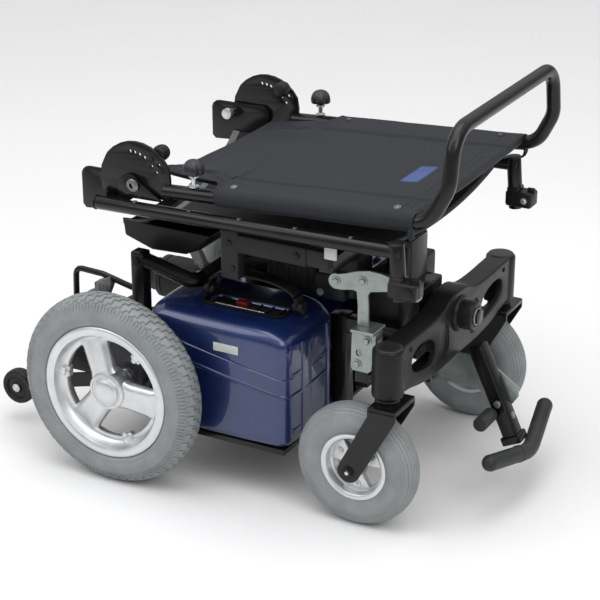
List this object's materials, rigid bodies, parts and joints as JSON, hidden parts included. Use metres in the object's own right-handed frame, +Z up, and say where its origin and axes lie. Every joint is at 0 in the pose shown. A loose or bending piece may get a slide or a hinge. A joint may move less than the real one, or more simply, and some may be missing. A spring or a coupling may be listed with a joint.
{
  "type": "power wheelchair",
  "caption": "Compact power wheelchair base with folded backrest, push bar, battery boxes, drive wheels, castors on a rocking beam and a kerb climber.",
  "frame": {"origin": "on the floor under the middle of the chair's overall length and width", "axes": "-Y is the way the chair faces, -X is its right side, +Z up"},
  "size_m": [0.6, 0.898, 0.6509],
  "materials": {
    "black_frame": "satin powder coat",
    "grey_steel": "satin dark grey",
    "zinc": "zinc plated",
    "blue_gloss": "glossy dark blue metallic",
    "black_plastic": "satin moulded",
    "grey_plastic": "matt moulded",
    "tyre_grey": "matt non-marking grey",
    "rim_silver": "satin silver",
    "steel": "bright plated",
    "nylon": "woven nylon",
    "foot_rubber": "satin rubber",
    "dark_cast": "dark cast"
  },
  "bodies": {
    "chassis": {"chassis_frame": "black_frame", "rear_cross_tube": "grey_steel", "seat_sling": "nylon", "kerb_bracket": "zinc", "power_module": "black_plastic", "rear_upright_right": "black_frame", "battery_case_right": "blue_gloss", "battery_right": "black_plastic", "battery_lid_right": "blue_gloss", "gearbox_right": "dark_cast", "drive_motor_right": "black_plastic", "seat_support_right": "grey_steel", "front_bracket_right": "zinc", "seat_rail_right": "black_frame", "hanger_clamp_right": "black_plastic", "recline_bracket_right": "black_frame", "antitip_arm_right": "black_frame", "rear_upright_left": "black_frame", "battery_case_left": "blue_gloss", "battery_left": "black_plastic", "battery_lid_left": "blue_gloss", "gearbox_left": "dark_cast", "drive_motor_left": "black_plastic", "seat_support_left": "grey_steel", "seat_rail_left": "black_frame", "hanger_clamp_left": "black_plastic", "recline_bracket_left": "black_frame", "antitip_arm_left": "black_frame"},
    "castor_beam": {"castor_beam": "black_plastic"},
    "backrest": {"back_frame": "black_frame", "back_cover": "nylon", "recline_plate_right": "black_frame", "recline_plate_left": "black_frame"},
    "kerb_climber": {"kerb_arm": "black_frame", "kerb_foot": "foot_rubber"},
    "rear_wheel_right": {"rear_tyre_right": "tyre_grey", "rear_rim_right": "rim_silver", "hub_cap_right": "rim_silver"},
    "castor_fork_right": {"castor_fork_right": "black_frame"},
    "castor_wheel_right": {"castor_tyre_right": "tyre_grey", "castor_rim_right": "rim_silver"},
    "antitip_wheel_right": {"antitip_wheel_right": "black_plastic"},
    "carry_handle_right": {"carry_handle_right": "black_plastic"},
    "freewheel_lever_right": {"freewheel_lever_right": "grey_plastic"},
    "lock_pin_right": {"lock_pin_right": "steel"},
    "star_knob_right": {"star_knob_right": "black_plastic"},
    "tension_knob_right": {"tension_knob_right": "black_plastic"},
    "rear_wheel_left": {"rear_tyre_left": "tyre_grey", "rear_rim_left": "rim_silver", "hub_cap_left": "rim_silver"},
    "castor_fork_left": {"castor_fork_left": "black_frame"},
    "castor_wheel_left": {"castor_tyre_left": "tyre_grey", "castor_rim_left": "rim_silver"},
    "antitip_wheel_left": {"antitip_wheel_left": "black_plastic"},
    "carry_handle_left": {"carry_handle_left": "black_plastic"},
    "freewheel_lever_left": {"freewheel_lever_left": "grey_plastic"},
    "lock_pin_left": {"lock_pin_left": "steel"},
    "star_knob_left": {"star_knob_left": "black_plastic"},
    "tension_knob_left": {"tension_knob_left": "black_plastic"}
  },
  "joints": [
    {"name": "beam_rock", "type": "hinge", "parent": "chassis", "child": "castor_beam", "pos_m": [0, -0.288, 0.281], "axis": [0, 1, 0], "range_deg": [-5, 5]},
    {"name": "backrest_fold", "type": "hinge", "parent": "chassis", "child": "backrest", "pos_m": [0, 0.159, 0.478], "axis": [-1, 0, 0], "range_deg": [0, 100]},
    {"name": "kerb_swing", "type": "hinge", "parent": "chassis", "child": "kerb_climber", "pos_m": [0, -0.383, 0.1445], "axis": [1, 0, 0], "range_deg": [0, 25], "stiffness_Nm_per_rad": 15, "springref_deg": -14.32},
    {"name": "rear_wheel_right_spin", "type": "hinge", "parent": "chassis", "child": "rear_wheel_right", "pos_m": [-0.2715, 0.165, 0.159], "axis": [1, 0, 0], "continuous": true},
    {"name": "castor_swivel_right", "type": "hinge", "parent": "castor_beam", "child": "castor_fork_right", "pos_m": [-0.212, -0.288, 0.224], "axis": [0, 0, 1], "continuous": true},
    {"name": "castor_wheel_right_spin", "type": "hinge", "parent": "castor_fork_right", "child": "castor_wheel_right", "pos_m": [-0.212, -0.241, 0.1], "axis": [1, 0, 0], "continuous": true},
    {"name": "antitip_wheel_right_spin", "type": "hinge", "parent": "chassis", "child": "antitip_wheel_right", "pos_m": [-0.18, 0.4185, 0.065], "axis": [1, 0, 0], "continuous": true},
    {"name": "carry_handle_right_fold", "type": "hinge", "parent": "chassis", "child": "carry_handle_right", "pos_m": [-0.143, -0.022, 0.3025], "axis": [0, 1, 0], "range_deg": [-60, 60]},
    {"name": "freewheel_right_turn", "type": "hinge", "parent": "chassis", "child": "freewheel_lever_right", "pos_m": [-0.147, 0.25, 0.204], "axis": [-1, 0, 0], "range_deg": [0, 30]},
    {"name": "lock_pin_right_pull", "type": "slide", "parent": "chassis", "child": "lock_pin_right", "axis": [1, 0, 0], "range_m": [0, 0.01], "stiffness_N_per_m": 200, "springref_m": -0.002},
    {"name": "star_knob_right_turn", "type": "hinge", "parent": "backrest", "child": "star_knob_right", "pos_m": [-0.205, 0.047, 0.4935], "axis": [0, 0, 1], "range_deg": [-180, 180]},
    {"name": "tension_knob_right_turn", "type": "hinge", "parent": "backrest", "child": "tension_knob_right", "pos_m": [-0.19, 0.113, 0.533], "axis": [1, 0, 0], "range_deg": [-180, 180]},
    {"name": "rear_wheel_left_spin", "type": "hinge", "parent": "chassis", "child": "rear_wheel_left", "pos_m": [0.2715, 0.165, 0.159], "axis": [1, 0, 0], "continuous": true},
    {"name": "castor_swivel_left", "type": "hinge", "parent": "castor_beam", "child": "castor_fork_left", "pos_m": [0.212, -0.288, 0.224], "axis": [0, 0, 1], "continuous": true},
    {"name": "castor_wheel_left_spin", "type": "hinge", "parent": "castor_fork_left", "child": "castor_wheel_left", "pos_m": [0.212, -0.241, 0.1], "axis": [1, 0, 0], "continuous": true},
    {"name": "antitip_wheel_left_spin", "type": "hinge", "parent": "chassis", "child": "antitip_wheel_left", "pos_m": [0.18, 0.4185, 0.065], "axis": [1, 0, 0], "continuous": true},
    {"name": "carry_handle_left_fold", "type": "hinge", "parent": "chassis", "child": "carry_handle_left", "pos_m": [0.143, -0.022, 0.3025], "axis": [0, 1, 0], "range_deg": [-60, 60]},
    {"name": "freewheel_left_turn", "type": "hinge", "parent": "chassis", "child": "freewheel_lever_left", "pos_m": [0.147, 0.25, 0.204], "axis": [-1, 0, 0], "range_deg": [0, 30]},
    {"name": "lock_pin_left_pull", "type": "slide", "parent": "chassis", "child": "lock_pin_left", "axis": [-1, 0, 0], "range_m": [0, 0.01], "stiffness_N_per_m": 200, "springref_m": -0.002},
    {"name": "star_knob_left_turn", "type": "hinge", "parent": "backrest", "child": "star_knob_left", "pos_m": [0.205, 0.047, 0.4935], "axis": [0, 0, 1], "range_deg": [-180, 180]},
    {"name": "tension_knob_left_turn", "type": "hinge", "parent": "backrest", "child": "tension_knob_left", "pos_m": [0.19, 0.113, 0.533], "axis": [1, 0, 0], "range_deg": [-180, 180]}
  ]
}
